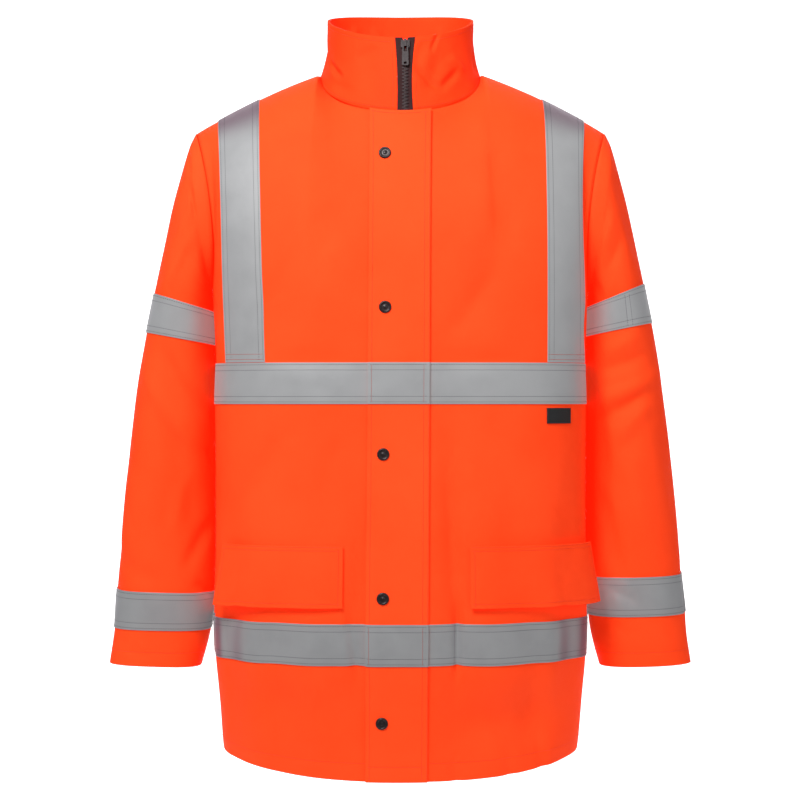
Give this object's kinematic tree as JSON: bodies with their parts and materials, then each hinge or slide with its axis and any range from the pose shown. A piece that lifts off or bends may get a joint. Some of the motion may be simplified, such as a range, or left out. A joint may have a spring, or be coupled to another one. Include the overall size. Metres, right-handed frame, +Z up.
{
  "type": "hi-vis work jacket",
  "caption": "Hi-vis work jacket filled out as worn, hollow, with a stand collar, a zip under a snapped storm flap, pocket flaps and reflective tapes.",
  "frame": {"origin": "middle of the neck, level with the points where the shoulder seams meet the collar", "axes": "+Z up, -Y out of the jacket's front, +X towards the wearer's left"},
  "size_m": [0.7384, 0.3171, 0.9584],
  "materials": {
    "orange_cloth": "matte fluorescent coated oxford weave",
    "reflective_tape": "satin grey retroreflective",
    "zip_tape": "dark woven tape",
    "zip_resin": "moulded teeth",
    "gunmetal": "dark satin metal",
    "black_label": "plain woven"
  },
  "bodies": {
    "jacket": {"collar": "orange_cloth", "storm_flap": "orange_cloth", "front_right": "orange_cloth", "front_left": "orange_cloth", "back": "orange_cloth", "sleeve_right": "orange_cloth", "sleeve_left": "orange_cloth", "pocket_flap_right": "orange_cloth", "pocket_flap_left": "orange_cloth", "chest_tape_right": "reflective_tape", "chest_tape_left": "reflective_tape", "chest_tape_flap": "reflective_tape", "chest_tape_back": "reflective_tape", "waist_tape_right": "reflective_tape", "waist_tape_left": "reflective_tape", "waist_tape_flap": "reflective_tape", "waist_tape_back": "reflective_tape", "brace_right": "reflective_tape", "brace_left": "reflective_tape", "sleeve_tape_right_upper": "reflective_tape", "sleeve_tape_right_lower": "reflective_tape", "sleeve_tape_left_upper": "reflective_tape", "sleeve_tape_left_lower": "reflective_tape", "zip_tape_right": "zip_tape", "zip_tape_left": "zip_tape", "zip_teeth": "zip_resin", "zip_slider": "gunmetal", "snap_1": "gunmetal", "snap_2": "gunmetal", "snap_3": "gunmetal", "snap_4": "gunmetal", "snap_5": "gunmetal", "label": "black_label"},
    "pull_tab": {"zip_pull": "gunmetal"}
  },
  "joints": [
    {"name": "pull_tab_hinge", "type": "hinge", "parent": "jacket", "child": "pull_tab", "pos_m": [0.0058, -0.08923, 0.02743], "axis": [-1, 0, 0], "range_deg": [0, 150]}
  ]
}
